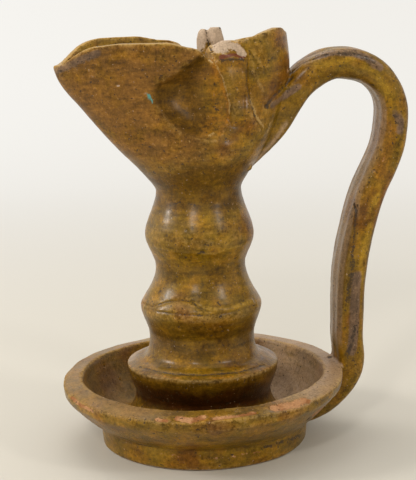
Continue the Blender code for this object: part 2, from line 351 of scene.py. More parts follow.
def pinched(point, nearFront):
    b = bowl
    aboveNeck = clamped(point[2] - b["bottom"], 0.0, b["depth"])
    height = aboveNeck / b["depth"]
    heading = math.atan2(point[1], point[0])
    front = max(-math.cos(heading), 0.0) ** 1.5
    back = max(math.cos(heading), 0.0) ** 2
    x = point[0] * (1 + (b["spoutReach"] / b["radius"] - 1) * math.sin(height * math.pi / 2) * front)
    x += b["rearBelly"] * back * math.sin(math.pi * height**1.5)
    lobe = 1 - (1 - b["lobeShare"]) * ease(height * 1.25)
    closed = b["wall"] + b["pinchGap"]
    side = math.sqrt(b["radius"] ** 2 - b["pinchPlace"] ** 2)
    width = nearFront if x < b["pinchPlace"] and point[1] < 0 else b["pinchWidth"]
    near = math.exp(-(((x - b["pinchPlace"]) / width) ** 2))
    pinch = (b["lobeShare"] - closed / side) * near * ease((aboveNeck - b["pinchFoot"]) / b["pinchRun"])
    y = point[1] * (lobe - pinch)
    return x, y, point[2] + rimLift(x, ease(0.5 + point[1] / b["radius"] * 2)) * height**1.5


# The thumb hollow beside the near pleat: its sharp crease and the pleat's front edge, as photo pixels
hollow = {
    "crease": (
        (212, 55), (196, 58), (185, 67), (174, 76), (166, 80), (157, 84.5), (152.4, 90),
        (154, 99), (160, 111), (169, 123), (180, 131.5), (192, 137), (212, 140),
    ),
    "pleatEdge": (
        (213, 55), (214, 62), (221, 79), (227, 96), (229, 108), (227, 120), (218, 136), (214, 140),
    ),
    "pleatFace": -0.0185,
    "depth": 0.0034,
    "lean": 0.80,
    "tuckAcross": 0.0022,
    "tuckIn": 0.0012,
}


def drawnDown(tree, pixels):
    # A line of pixels as x and y by height, no deeper than the pleat's face
    places = []
    for pixel in pixels:
        place = seenOn(tree, pixel)[0]
        if place is None or place.y > hollow["pleatFace"]:
            place = seenAt(pixel, hollow["pleatFace"])
        places.append(place)
    places.sort(key=lambda place: place.z)
    return np.array(places)


def pressHollow(skin):
    tree = treeOf(skin)
    left, right = drawnDown(tree, hollow["crease"]), drawnDown(tree, hollow["pleatEdge"])
    points = pointsOf(skin)
    z = points[:, 2]
    leftX, leftY = (np.interp(z, left[:, 2], left[:, k]) for k in (0, 1))
    # The pressed wall ends inside the pleat, whose own edge then shows
    rightX = np.interp(z, right[:, 2], right[:, 0]) + hollow["tuckAcross"]
    rightY = np.interp(z, right[:, 2], right[:, 1]) + hollow["tuckIn"]
    low, high = max(left[0, 2], right[0, 2]), min(left[-1, 2], right[-1, 2])
    down = np.clip((high - z) / (high - low), 0, 1)
    gap = np.maximum(rightX - leftX, 0.0005)
    across = (points[:, 0] - leftX) / gap
    inside = (across > 0) & (across < 1) & (z > low) & (z < high) & (points[:, 1] < -bowl["wall"])
    held = np.clip(across, 0, 1)
    scoop = hollow["depth"] * np.sin(math.pi * held ** hollow["lean"]) * np.sin(math.pi * down) ** 0.8
    pressed = leftY + (rightY - leftY) * held + scoop
    points[inside, 1] = pressed[inside]
    setPoints(skin, points)


def bowlSkin(name, rows, turns, nearFront):
    skin = turnedBody(name, thrownOutline(rows), turns)
    setPoints(skin, np.array([pinched(point, nearFront) for point in pointsOf(skin)]))
    return skin


def makeBowl():
    made = bowlSkin("bowl", 84, 288, bowl["pinchNearFront"])
    pressHollow(made)
    applied(made, "SOLIDIFY", thickness=bowl["wall"], offset=-1.0)
    print("bowl thrown and pinched")
    return made


def makeRoom():
    # The bowl's inside from mid-wall up past the rim, which trims what is luted on outside
    room = bowlSkin("room", 36, 96, bowl["pinchWidth"])
    applied(room, "DISPLACE", strength=-bowl["wall"] / 2, mid_level=0.0)
    pickOnly(room)
    bpy.ops.object.mode_set(mode="EDIT")
    bpy.ops.mesh.select_all(action="DESELECT")
    bpy.ops.mesh.select_non_manifold(extend=False)
    bpy.ops.mesh.extrude_region_move(TRANSFORM_OT_translate={"value": (0, 0, bowl["depth"] / 2)})
    bpy.ops.mesh.edge_face_add()
    bpy.ops.mesh.select_all(action="SELECT")
    bpy.ops.mesh.normals_make_consistent(inside=False)
    bpy.ops.object.mode_set(mode="OBJECT")
    return applied(room, "REMESH", mode="VOXEL", voxel_size=body["voxel"] * 1.5)


strap = {
    "width": 0.0190,
    "thickness": 0.0132,
    "reach": 0.0850,
    "squareness": 3.4,
    "grooves": (-0.0042, 0.0036),
    "grooveDepth": 0.0006,
    "grooveWidth": 0.0016,
}
# Each pleat's width along the bowl and depth across it, then height, middle, face and size going down
pleats = {
    "near": {
        "width": 0.0130,
        "depth": 0.0100,
        "path": (
            (0.1719, 0.0132, 0.0160, 0.55), (0.1712, 0.0130, 0.0170, 0.92),
            (0.1688, 0.0124, 0.0174, 1.20), (0.1660, 0.0112, 0.0171, 1.38),
            (0.1590, 0.0128, 0.0174, 1.08), (0.1500, 0.0150, 0.0177, 0.84),
            (0.1420, 0.0160, 0.0187, 1.00), (0.1340, 0.0160, 0.0188, 1.20),
            (0.1260, 0.0150, 0.0165, 1.00),
        ),
    },
    "farFront": {
        "width": 0.0058,
        "depth": 0.0110,
        "path": (
            (0.1772, 0.0066, -0.0150, 0.35), (0.1762, 0.0062, -0.0165, 0.75),
            (0.1738, 0.0060, -0.0174, 1.0), (0.1600, 0.0062, -0.0176, 1.1),
            (0.1480, 0.0060, -0.0188, 0.9), (0.1400, 0.0062, -0.0170, 0.7),
        ),
    },
    "farBack": {
        "width": 0.0066,
        "depth": 0.0125,
        "path": (
            (0.1787, 0.0100, -0.0150, 0.40), (0.1777, 0.0101, -0.0168, 0.80),
            (0.1745, 0.0102, -0.0180, 1.0), (0.1600, 0.0110, -0.0180, 1.1),
            (0.1480, 0.0125, -0.0196, 1.1), (0.1360, 0.0140, -0.0190, 1.0),
        ),
    },
}


def roundedSection(name, width, thickness, squareness, grooves=()):
    bpy.ops.curve.primitive_bezier_circle_add(radius=width / 2)
    section = bpy.context.object
    section.name = name
    section.data.splines.clear()
    spline = section.data.splines.new("POLY")
    corners = 44
    spline.points.add(corners - 1)
    for i, point in enumerate(spline.points):
        angle = math.tau * i / corners
        power = 2 / squareness
        x = math.copysign(abs(math.cos(angle)) ** power, math.cos(angle)) * width / 2
        y = math.copysign(abs(math.sin(angle)) ** power, math.sin(angle)) * thickness / 2
        for groove in grooves:
            dent = strap["grooveDepth"] * math.exp(-(((x - groove) / strap["grooveWidth"]) ** 2))
            y -= math.copysign(dent, y)
        point.co = (x, y, 0.0, 1.0)
    spline.use_cyclic_u = True
    return section


def swept(name, section, path, fineness):
    deselectAll()
    bpy.ops.curve.primitive_bezier_curve_add()
    obj = bpy.context.object
    obj.name = name
    curve = obj.data
    curve.twist_mode = "MINIMUM"
    curve.bevel_mode = "OBJECT"
    curve.bevel_object = section
    curve.use_fill_caps = True
    spline = curve.splines[0]
    spline.resolution_u = fineness
    spline.bezier_points.add(len(path) - len(spline.bezier_points))
    for point, (place, size) in zip(spline.bezier_points, path):
        point.co = place
        point.radius = size
        point.handle_left_type = "AUTO"
        point.handle_right_type = "AUTO"
    pickOnly(obj)
    bpy.ops.object.convert(target="MESH")
    editAll(obj)
    bpy.ops.mesh.remove_doubles(threshold=0.00001)
    bpy.ops.mesh.normals_make_consistent(inside=False)
    bpy.ops.object.mode_set(mode="OBJECT")
    bpy.data.objects.remove(section)
    return obj


def strapPath():
    # Place and size of each point from the bowl's root to the saucer's
    half = strap["thickness"] / 2
    low, high = saucer["rimHeight"], bowl["top"]
    neck, bottom = stem["neck"]
    base, rim, edge = saucer["baseRadius"], saucer["rimRadius"], saucer["baseEdge"]
    footX, reach = rim + half * 0.6, strap["reach"]
    return (
        ((neck * 0.90, 0.0, bottom + half * 0.9), 0.42),
        ((neck + half * 2.2, 0.0, lerp(bottom, high, 0.415)), 0.75),
        ((lerp(neck, reach, 0.46), 0.0, high - half * 1.65), 1.04),
        ((lerp(neck, reach, 0.71), 0.0, high - half * 1.0), 1.07),
        ((lerp(neck, reach, 0.957), 0.0, lerp(low, high, 0.88)), 0.96),
        ((reach, 0.0, lerp(low, high, 0.735)), 1.0),
        ((lerp(footX, reach, 0.42), 0.0, lerp(low, high, 0.52)), 1.06),
        ((lerp(footX, reach, 0.10), 0.0, lerp(low, high, 0.335)), 1.05),
        ((footX, 0.0, lerp(low, high, 0.105)), 1.0),
        ((footX, 0.0, low - half * 0.4), 1.0),
        ((lerp(base, rim, 0.75), 0.0, saucer["bodyHeight"] + half * 0.8), 0.8),
        ((base - edge, 0.0, half * 0.55 + edge / 2), 0.5),
    )


def makeStrap():
    width, thickness, grooves = strap["width"], strap["thickness"], strap["grooves"]
    section = roundedSection("strapSection", width, thickness, strap["squareness"], grooves)
    return swept("strap", section, strapPath(), 24)


def makePleat(name):
    one = pleats[name]
    path = []
    for height, middle, face, size in one["path"]:
        out = math.copysign(abs(face) - one["depth"] / 2 * size, -face)
        path.append(((middle, out, height), size))
    section = roundedSection(name + "Section", one["width"], one["depth"], 3.6)
    return swept(name, section, path, 12)


def makeLuted(room):
    pieces = [makeStrap()]
    pieces += [makePleat(name) for name in pleats]
    for piece in pieces:
        applied(piece, "REMESH", mode="VOXEL", voxel_size=body["voxel"] * 1.2)
        applied(piece, "BOOLEAN", operation="DIFFERENCE", solver="EXACT", object=room)
    bpy.data.objects.remove(room)
    print("strap and pleats luted on")
    return pieces


# The whole body after joining: its fineness, the hand's unevenness and the smoothing of joints
body = {
    "voxel": 0.00062,
    "mostTriangles": 194000,
    "uneven": ((0.020, 0.00036), (0.0075, 0.00013), (0.0026, 0.00004)),
    "ringPitch": 0.0034,
    "ringDepth": 0.00002,
    "flatBelow": 0.0012,
    "clearance": 0.00005,
}

def mark(shows, half, line, dig=0.0, share=1.0):
    # A line of photo pixels, its half width in metres, how far it is dug in and how much of what shows
    return {"shows": shows, "half": half, "line": line, "dig": dig, "share": share}


marks = {
    "pleatTop": mark("clay", 0.0019, ((219, 50), (228, 45), (238, 48), (243, 53))),
    "pleatBand": mark("brick", 0.0011, ((221, 57), (232, 55), (244, 56.5)), dig=0.0003),
    "pleatBandShade": mark("umber", 0.0007, ((222, 60.5), (232, 59), (244, 59.5)), share=0.7),
    # The pleat's front edge is painted amber where it faces the light: painted light
    "litPleatEdge": mark(
        "amber", 0.0012, ((213, 60), (220, 79), (227, 100), (228.5, 112), (226, 124), (219, 134)),
    ),
    "pleatArrisLight": mark("light", 0.0005, ((213, 58), (223, 79), (230, 104), (229, 116)), share=0.8),
    # A painted shadow along the step behind the pleat, which is also dug in
    "pleatStepShadow": mark(
        "umber", 0.0005, ((247, 57), (246.5, 82), (249, 98), (256, 120), (262, 129)),
        dig=0.0006, share=0.55,
    ),
    "pleatStepLight": mark(
        "light", 0.0006, ((250, 100), (257, 118), (268, 132), (270, 122)),
        share=0.9,
    ),
    "wrinkleHigh": mark("umber", 0.0005, ((250, 52), (256, 62), (259, 74)), dig=0.0005, share=0.45),
    "wrinkleLow": mark("umber", 0.0005, ((256, 48), (262, 60), (265, 72)), dig=0.0005, share=0.4),
    "wrinkleRise": mark("worn", 0.0008, ((253, 70), (258, 82), (263, 90)), dig=-0.0005, share=0.3),
    "knobBare": mark("clay", 0.0044, ((197, 46), (200, 36), (209, 32), (219, 34), (221, 46))),
    "knobCrack": mark("umber", 0.0005, ((206, 30), (207, 38), (209, 46), (212, 52)), dig=0.0006),
    # The thumb hollow: deep glaze and painted shade on its left and across its floor, and painted light
    # in amber on its right side, which faces the light
    "hollowShade": mark(
        "deep", 0.0052, ((196, 66), (178, 82), (163, 92), (164, 104), (176, 118), (190, 128)),
        share=0.95,
    ),
    "hollowFloor": mark("deep", 0.004, ((192, 84), (190, 96), (197, 112), (204, 122)), share=0.7),
    "hollowLitSide": mark("amber", 0.0032, ((214, 84), (219, 104), (216, 122), (208, 132)), share=0.55),
    "bellyPool": mark("deep", 0.0065, ((188, 188), (204, 178), (222, 180), (236, 172)), share=0.9),
    "lipBand": mark("mauve", 0.0017, ((56, 71), (68, 66), (82, 59), (98, 53))),
    "lipShade": mark("umber", 0.0012, ((58, 71), (70, 67), (86, 61), (98, 56)), share=0.45),
    "rootStripe": mark("mauve", 0.0016, ((272, 106), (284, 96), (298, 87))),
    "rootGroove": mark(
        "umber", 0.001, ((266, 106), (272, 98), (283, 87), (293, 77)),
        dig=0.0004, share=0.55,
    ),
    "rootEdge": mark(
        "pale", 0.001, ((250, 164), (257, 160), (266, 150), (275, 140), (286, 124)),
        share=0.8,
    ),
    "rootBead": mark("light", 0.0014, ((250, 168), (252, 168)), dig=-0.0008, share=0.6),
    "rootPit": mark("umber", 0.001, ((266, 106), (267, 107)), dig=0.0005, share=0.9),
    # The far wall's inside is painted a lighter yellow where it lies in shade: painted light
    "farInsideLit": mark(
        "sun", 0.0026, ((62, 62), (72, 55), (85, 48), (101, 43.5), (125, 41.5), (148, 42), (168, 43.5)),
        share=0.8,
    ),
    "hollowGleam": mark("light", 0.0008, ((210, 135.5), (213, 133)), dig=-0.0005, share=0.7),
    "hollowGleamLow": mark("light", 0.0008, ((187, 141), (189, 142)), dig=-0.0004, share=0.6),
    "bowCrest": mark("pale", 0.0009, ((288, 71), (300, 61), (326, 50.5)), dig=-0.0002, share=0.8),
    "bowGroove": mark("umber", 0.0006, ((290, 74), (303, 63), (328, 54)), dig=0.0004, share=0.5),
    # A grey-brown band along the top of the bow
    "bowGreyBand": mark(
        "mauve", 0.002, ((318, 56), (334, 52), (352, 52.5), (366, 57), (380, 67)),
        share=0.95,
    ),
    "bowSpecks": mark("umber", 0.0012, ((322, 56), (345, 53), (362, 56), (374, 62)), share=0.5),
    "bowSun": mark("sun", 0.0016, ((315, 66), (338, 59), (356, 60), (372, 70), (386, 88), (390, 104))),
    "bowUnder": mark(
        "deep", 0.0014, ((308, 84), (325, 75), (345, 73), (362, 77), (376, 90)),
        share=0.7,
    ),
    "strapSpot": mark("mauve", 0.0022, ((396, 114), (401, 122), (400, 131)), share=0.8),
    "strapSpotDark": mark("umber", 0.001, ((394, 116), (400, 119)), share=0.7),
    "strapAmber": mark("amber", 0.0026, ((393, 132), (388, 152), (378, 172)), share=0.55),
    "strapRust": mark("rust", 0.0007, ((388, 146), (384, 158), (379, 168)), share=0.5),
    "strapSun": mark("sun", 0.0018, ((379, 190), (370, 222), (364, 252), (361, 284)), share=0.9),
    "strapDent": mark("umber", 0.0007, ((354, 204), (356, 210)), dig=0.0004),
    "strapDeep": mark(
        "deep", 0.0018, ((352, 212), (346, 238), (343, 268), (340, 300), (338, 330)),
        share=0.9,
    ),
    "strapLine": mark(
        "umber", 0.0009, ((357, 206), (355, 225), (353, 250), (349, 290)),
        dig=0.0003, share=0.6,
    ),
    "strapSmear": mark("umber", 0.0016, ((353, 262), (350, 280), (348, 300)), share=0.6),
    "strapGrey": mark("mauve", 0.0026, ((357, 276), (355, 300), (354, 330), (352, 350)), share=0.95),
    "strapLow": mark("umber", 0.0012, ((354, 328), (351, 345), (346, 356)), share=0.7),
    # Painted shade along the front of the saucer's ledge
    "ledgeFrontShade": mark(
        "deep", 0.0032, (
            (100, 396), (112, 402), (135, 408), (160, 412), (200, 414), (240, 411), (268, 405),
        ),
        share=0.6,
    ),
    # Painted sheen on the collar's ledge, left and right
    "collarSheen": mark("pale", 0.0022, ((131, 360), (133, 355), (140, 350), (147, 347)), share=0.5),
    "collarSheenRight": mark("pale", 0.0018, ((258, 348), (268, 352), (275, 358)), share=0.4),
    "lipChipLeft": mark("rust", 0.001, ((157, 420), (166, 421)), dig=0.0005),
    "lipChipMiddle": mark("rust", 0.0015, ((178, 419), (191, 421), (203, 418)), dig=0.0006),
    "lipChipRight": mark("rust", 0.0009, ((214, 419), (234, 417), (255, 413)), dig=0.0005, share=0.8),
    "lipChipFar": mark("rust", 0.0024, ((275, 409), (290, 406), (305, 401)), dig=0.0007),
    "lipChipSide": mark("rust", 0.001, ((72, 398), (80, 405), (92, 411)), dig=0.0004, share=0.8),
    "footBare": mark("rust", 0.0016, ((314, 415), (322, 408)), dig=0.0003, share=0.8),
    "footHole": mark("umber", 0.0009, ((308, 419), (310, 421)), dig=0.0012),
    "underLip": mark("umber", 0.0018, ((101, 412), (125, 418), (154, 421)), share=0.3),
    "flankStreak": mark("umber", 0.0013, ((262, 448), (280, 443), (303, 434)), share=0.6),
    "flankLine": mark("umber", 0.0005, ((120, 437), (138, 444), (153, 447)), dig=0.0003, share=0.6),
    "flankSun": mark("sun", 0.0045, ((154, 449), (180, 447)), share=0.7),
    "flankRust": mark("rust", 0.0006, ((160, 452), (185, 457), (225, 458), (262, 451)), share=0.45),
    "stemSun": mark("sun", 0.005, ((212, 190), (210, 215), (225, 240)), share=0.55),
    "shoulderSun": mark("sun", 0.004, ((196, 344), (235, 340)), share=0.5),
    "saucerLump": mark("umber", 0.0009, ((329, 357), (331, 357)), dig=-0.0007),
    "saucerDrips": mark("sun", 0.001, ((323, 386), (331, 389)), share=0.9),
    "bandCrease": mark(
        "umber", 0.0005, (
            (142, 302), (152, 306.5), (167, 302), (181, 300), (192, 302), (199, 308), (209, 312),
        ),
        dig=0.0006, share=0.6,
    ),
    "bandLow": mark(
        "umber", 0.0005, ((145, 308), (159, 312), (189, 315), (212, 315), (233, 312), (256, 305)),
        dig=0.0004, share=0.45,
    ),
    "bandRise": mark("sun", 0.0011, ((205, 309), (226, 309), (252, 301)), dig=-0.0004, share=0.6),
    "bandGrey": mark("worn", 0.0012, ((170, 306), (190, 307)), share=0.5),
    "highLine": mark(
        "sun", 0.0007, ((155, 246), (175, 252), (215, 254), (245, 244)),
        dig=-0.0002, share=0.5,
    ),
    "highDents": mark("umber", 0.0006, ((201, 252), (204, 252)), dig=0.0003, share=0.8),
    "collarGroove": mark(
        "umber", 0.0006, ((140, 367), (155, 371), (175, 374.5), (203, 375.5), (239, 372.5), (264, 365)),
        dig=0.0003, share=0.7,
    ),
    "collarEdge": mark(
        "amber", 0.0005, ((129, 366), (145, 373), (167, 377), (203, 379), (239, 376), (270, 367)),
    ),
    "spoutFleck": mark("clay", 0.0003, ((117.5, 86), (118.5, 86)), dig=-0.0002),
    "tealFleck": mark("teal", 0.0006, ((148, 95), (151.5, 101))),
}

# Small pits where the glaze has gone, as photo pixels
pits = {
    "half": 0.0005,
    "dig": 0.0004,
    "share": 0.85,
    "places": (
        (198, 437), (207, 432), (186, 388), (163, 401), (142, 407), (196, 453), (232, 455), (176, 61),
        (133, 68), (98, 73), (141, 78), (174, 79), (237, 88), (236, 98), (245, 121), (242, 127),
        (213, 158), (252, 141), (222, 62), (231, 64), (104, 366), (120, 380), (242, 345), (213, 239),
        (187, 230), (381, 150), (374, 170), (365, 232), (340, 66), (312, 72),
    ),
}


def markPlaces(tree, line, pace=1.5):
    # Places and outward directions along a drawn line, close enough together to read as one
    places = []
    for start, end in zip(line, line[1:] or line):
        steps = max(int(math.dist(start, end) / pace), 1)
        for i in range(steps + 1):
            place, facing = seenOn(tree, [lerp(start[k], end[k], i / steps) for k in (0, 1)])
            if place is not None:
                places.append((place, facing))
    return places


def pointTree(points):
    tree = KDTree(len(points))
    for index, point in enumerate(points):
        tree.insert(point, index)
    tree.balance()
    return tree


def nearMark(near, facings, places, half):
    # From 1 on the line to 0 well off it, only where the surface faces as the marked one does
    share = np.zeros(len(facings))
    for place, facing in places:
        found = near.find_range(place, half * 2.2)
        if found:
            close = np.array([one[1] for one in found])
            away = np.array([one[2] for one in found]) / half
            alike = facings[close] @ np.array(facing) > 0.2
            share[close] = np.maximum(share[close], np.exp(-(away**3)) * alike)
    return share


def facingsOf(obj):
    facings = np.empty(len(obj.data.vertices) * 3)
    obj.data.vertices.foreach_get("normal", facings)
    return facings.reshape(-1, 3)


def noiseAt(points, reach, shift):
    moved = Vector((shift, shift, shift))
    return np.array([noise.noise(Vector(point) / reach + moved) for point in points])


def pitPlaces(tree):
    return [place for pixel in pits["places"] for place in markPlaces(tree, (pixel,))]


def makeRelief(lamp):
    points, facings = pointsOf(lamp), facingsOf(lamp)
    tree, near = treeOf(lamp), pointTree(points)
    out = np.zeros(len(points))
    for number, (reach, depth) in enumerate(body["uneven"]):
        out += depth * noiseAt(points, reach, 7.0 * number + 3.0)
    radius = np.hypot(points[:, 0], points[:, 1])
    thrown = (radius < saucer["rimRadius"]) & (points[:, 2] < bowl["bottom"] + bowl["depth"] / 3)
    out += thrown * body["ringDepth"] * np.sin(points[:, 2] / body["ringPitch"] * math.tau)
    for one in marks.values():
        if one["dig"]:
            out -= one["dig"] * nearMark(near, facings, markPlaces(tree, one["line"]), one["half"])
    out -= pits["dig"] * nearMark(near, facings, pitPlaces(tree), pits["half"])
    # The base stays flat on the table
    out *= easeAll(points[:, 2] / body["flatBelow"])
    points += facings * out[:, None]
    for axis in range(3):
        low, high = cadBox[0][axis] + body["clearance"], cadBox[1][axis] - body["clearance"]
        points[:, axis] = np.clip(points[:, axis], low if axis < 2 else 0.0, high)
    setPoints(lamp, points)
    print("relief pressed in")


def paint(obj, name, share):
    layer = obj.data.attributes.new(name, "FLOAT", "POINT")
    layer.data.foreach_set("value", np.clip(share, 0, 1).astype(np.float32))


def evened(values, edges, count, rounds):
    # The values averaged with their neighbours, over and over
    ends = np.concatenate((edges[:, 0], edges[:, 1]))
    others = np.concatenate((edges[:, 1], edges[:, 0]))
    for i in range(rounds):
        sums = [np.bincount(ends, values[others, k], len(count)) for k in range(3)]
        values = np.stack(sums, axis=1) / count[:, None]
    return values


# What can show on the glaze, each painted as its own layer
finishes = (
    "clay", "rust", "umber", "worn", "sun", "amber", "pool", "teal", "light", "deep", "mauve", "brick",
    "pale",
)
# Which stretches of the turned stem are darkened, by thick dark glaze and by painted shade: middle
# height, half height and share
glazePoolsAndShade = ((0.1130, 0.0115, 1.0), (0.0785, 0.0085, 0.55), (0.0500, 0.0090, 1.0), (0.0255, 0.0088, 2.0))
# Where the glaze is rubbed, scoured, pooled or bare, and where shade, sheen and highlights are painted.
# A pair: where that starts and how soon it is whole
wearAndPaintedLight = {
    "stemRadius": (0.040, -0.004),
    # Painted shade in sunken places, laid in with the pooled glaze
    "sunken": (0.0, -0.0012),
    "sunkenShare": 0.6,
    "saucerRadius": (0.036, 0.004),
    "saucerHeight": (0.0365, -0.002),
    "saucerFacing": (0.1, 0.3),
    "ledgeMiddle": 0.004,
    "ledgeAside": (0.014, 0.035),
    "ledgeShares": (0.05, 0.50),
    # Painted sheen on the saucer's inside, growing towards its right
    "paleAcross": (0.012, 0.03),
    "paleShare": 0.7,
    # Painted reflection on the strap's inner face
    "innerFacing": (-0.45, -0.3),
    "innerAcross": (0.050, 0.004),
    "innerHeight": (0.036, 0.006),
    "innerShare": 0.55,
    # The pale line on the bowl's rims: rubbed wear with a painted highlight
    "rimFacing": (0.55, 0.25),
    "rimHeight": (bowl["top"] - 0.009, 0.002),
    "rimAcross": (0.040, -0.002),
    "underFacing": (-0.6, -0.2),
    "underHeight": (0.003, -0.001),
    "mattAcross": (0.006, -0.012),
    "mattHeight": (0.118, 0.012),
    "arris": (0.000048, 0.00024),
    "arrisRounds": 5,
    "sunkenRounds": 36,
    "strapAcross": (0.036, 0.006),
    "strapClear": 0.003,
}


def past(values, name):
    start, run = wearAndPaintedLight[name]
    return easeAll((values - start) / run)


def alongStrap(points, onStrap):
    # How far down the strap each of its points is, and how far from its middle line
    spine = np.array([(place[0], place[2]) for place, size in strapPath()])
    steps = np.concatenate(((0.0,), np.cumsum(np.hypot(*np.diff(spine, axis=0).T))))
    runs = np.linspace(0, steps[-1], 260)
    spine = np.stack([np.interp(runs, steps, spine[:, k]) for k in (0, 1)], axis=1)
    run, off = np.zeros(len(points)), np.zeros(len(points))
    for index in np.flatnonzero(onStrap):
        away = np.hypot(spine[:, 0] - points[index, 0], spine[:, 1] - points[index, 2])
        run[index], off[index] = runs[away.argmin()], away.min()
    return run, off


def makePaint(lamp):
    points, facings = pointsOf(lamp), facingsOf(lamp)
    tree, near = treeOf(lamp), pointTree(points)
    edges = np.empty(len(lamp.data.edges) * 2, dtype=np.int64)
    lamp.data.edges.foreach_get("vertices", edges)
    edges = edges.reshape(-1, 2)
    count = np.bincount(edges.ravel(), minlength=len(points)).astype(float)
    proud, proudWide = (
        ((points - evened(points, edges, count, wearAndPaintedLight[rounds])) * facings).sum(axis=1)
        for rounds in ("arrisRounds", "sunkenRounds")
    )
    masks = {name: np.zeros(len(points)) for name in finishes}

    def show(name, share):
        masks[name] = np.maximum(masks[name], share)

    for one in marks.values():
        places = markPlaces(tree, one["line"])
        show(one["shows"], nearMark(near, facings, places, max(one["half"], 0.0004)) * one["share"])
    show("umber", nearMark(near, facings, pitPlaces(tree), pits["half"]) * pits["share"])
    radius = np.hypot(points[:, 0], points[:, 1])
    across, height = points[:, 0], points[:, 2]
    sideways, upwards = facings[:, 0], facings[:, 2]
    onStem = past(radius, "stemRadius")
    for middle, half, share in glazePoolsAndShade:
        masks["pool"] += onStem * share * np.exp(-(((height - middle) / half) ** 2))
    # Sunken places are darkened too: painted shade laid in with the pooled glaze
    masks["pool"] += wearAndPaintedLight["sunkenShare"] * past(proudWide, "sunken")
    # The saucer's ledge and its inside are scoured matt, and so is the spout's outer wall. The saucer's
    # inside also gets a painted sheen, paler towards its right side
    inSaucer = past(radius, "saucerRadius") * past(height, "saucerHeight")
    inSaucer *= past(upwards, "saucerFacing")
    least, more = wearAndPaintedLight["ledgeShares"]
    show("worn", inSaucer * (least + more * past(np.abs(across - wearAndPaintedLight["ledgeMiddle"]), "ledgeAside")))
    show("pale", inSaucer * wearAndPaintedLight["paleShare"] * past(across, "paleAcross"))
    # The strap's inner face is painted pale: a painted reflection of the bright backdrop
    inside = past(sideways, "innerFacing") * past(across, "innerAcross") * past(height, "innerHeight")
    show("pale", inside * wearAndPaintedLight["innerShare"])
    # Every rim of the bowl gets a pale line on its upward face: rubbed wear with a painted highlight
    show("light", past(upwards, "rimFacing") * past(height, "rimHeight") * past(across, "rimAcross"))
    show("clay", past(upwards, "underFacing") * past(height, "underHeight"))
    matt = past(across, "mattAcross") * past(height, "mattHeight")
    paint(lamp, "matt", matt * (1 - np.clip(masks["pool"], 0, 1)))
    masks["pool"] /= 2
    paint(lamp, "edge", past(proud, "arris") * (1 - masks["deep"]))
    # Streaks on the strap run along it, so its points carry how far down it they are
    clear = (height > saucer["rimHeight"] + wearAndPaintedLight["strapClear"]) | (radius > saucer["rimRadius"])
    onStrap = past(across, "strapAcross") * clear
    run, off = alongStrap(points, onStrap)
    for name, share in (("onStrap", onStrap), ("run", run), ("off", off), *masks.items()):
        paint(lamp, name, share)
    print("wear and glaze laid out")


def withoutCrumbs(obj):
    # The largest of the shells that the joining left, on its own
    editAll(obj)
    bpy.ops.mesh.separate(type="LOOSE")
    bpy.ops.object.mode_set(mode="OBJECT")
    shells = sorted(bpy.context.selected_objects, key=lambda shell: len(shell.data.vertices))
    for crumb in shells[:-1]:
        bpy.data.objects.remove(crumb)
    return shells[-1]


def makeBody():
    pieces = [makeStand(), makeBowl()] + makeLuted(makeRoom())
    deselectAll()
    for piece in pieces:
        piece.select_set(True)
    bpy.context.view_layer.objects.active = pieces[0]
    bpy.ops.object.join()
    joined = bpy.context.object
    applied(joined, "REMESH", mode="VOXEL", voxel_size=body["voxel"], adaptivity=0.0)
    lamp = withoutCrumbs(joined)
    lamp.name = "glazed_lamp"
    lamp.data.name = "glazed_lamp"
    applied(lamp, "SMOOTH", factor=0.5, iterations=4)
    print("one clay body of", len(lamp.data.vertices), "points")
    makeRelief(lamp)
    share = body["mostTriangles"] / (2 * len(lamp.data.polygons))
    if share < 1:
        applied(lamp, "DECIMATE", ratio=share)
    makePaint(lamp)
    return lamp


class Wire:
    # One output socket. Sums and products of wires and numbers add their Math nodes
    def __init__(self, tree, socket=None):
        self.tree = tree
        self.socket = socket

    def node(self, kind, settings, values, out=0):
        node = self.tree.nodes.new("ShaderNode" + kind)
        for key, value in settings.items():
            if key == "stops":
                for stop, (place, tone) in zip(node.color_ramp.elements, value[:2]):
                    stop.position, stop.color = place, tone
                for place, tone in value[2:]:
                    node.color_ramp.elements.new(place).color = tone
            else:
                setattr(node, key, value)
        for key, value in values.items():
            if isinstance(value, Wire):
                self.tree.links.new(value.socket, node.inputs[key])
            else:
                node.inputs[key].default_value = value
        return Wire(self.tree, node.outputs[out])

    def math(self, operation, first, second=0.0):
        return self.node("Math", {"operation": operation}, {0: first, 1: second})

    def __add__(self, other):
        return self.math("ADD", self, other)

    def __sub__(self, other):
        return self.math("SUBTRACT", self, other)

    def __mul__(self, other):
        return self.math("MULTIPLY", self, other)

    __radd__ = __add__
    __rmul__ = __mul__

    def __rsub__(self, other):
        return self.math("SUBTRACT", other, self)

    def step(self, low, high):
        values = {0: self, 1: low, 2: high, 3: 0.0, 4: 1.0}
        return self.node("MapRange", {"interpolation_type": "SMOOTHSTEP"}, values)

    def laid(self, top, share, blend="MIX"):
        # This colour with another laid over it by a share from 0 to 1
        settings = {"data_type": "RGBA", "blend_type": blend}
        return self.node("Mix", settings, {0: share, 6: self, 7: top}, out=2)

    def shaded(self, factor):
        return self.laid(factor, 1.0, "MULTIPLY")


def colour(red, green, blue):
    return (red, green, blue, 1.0)


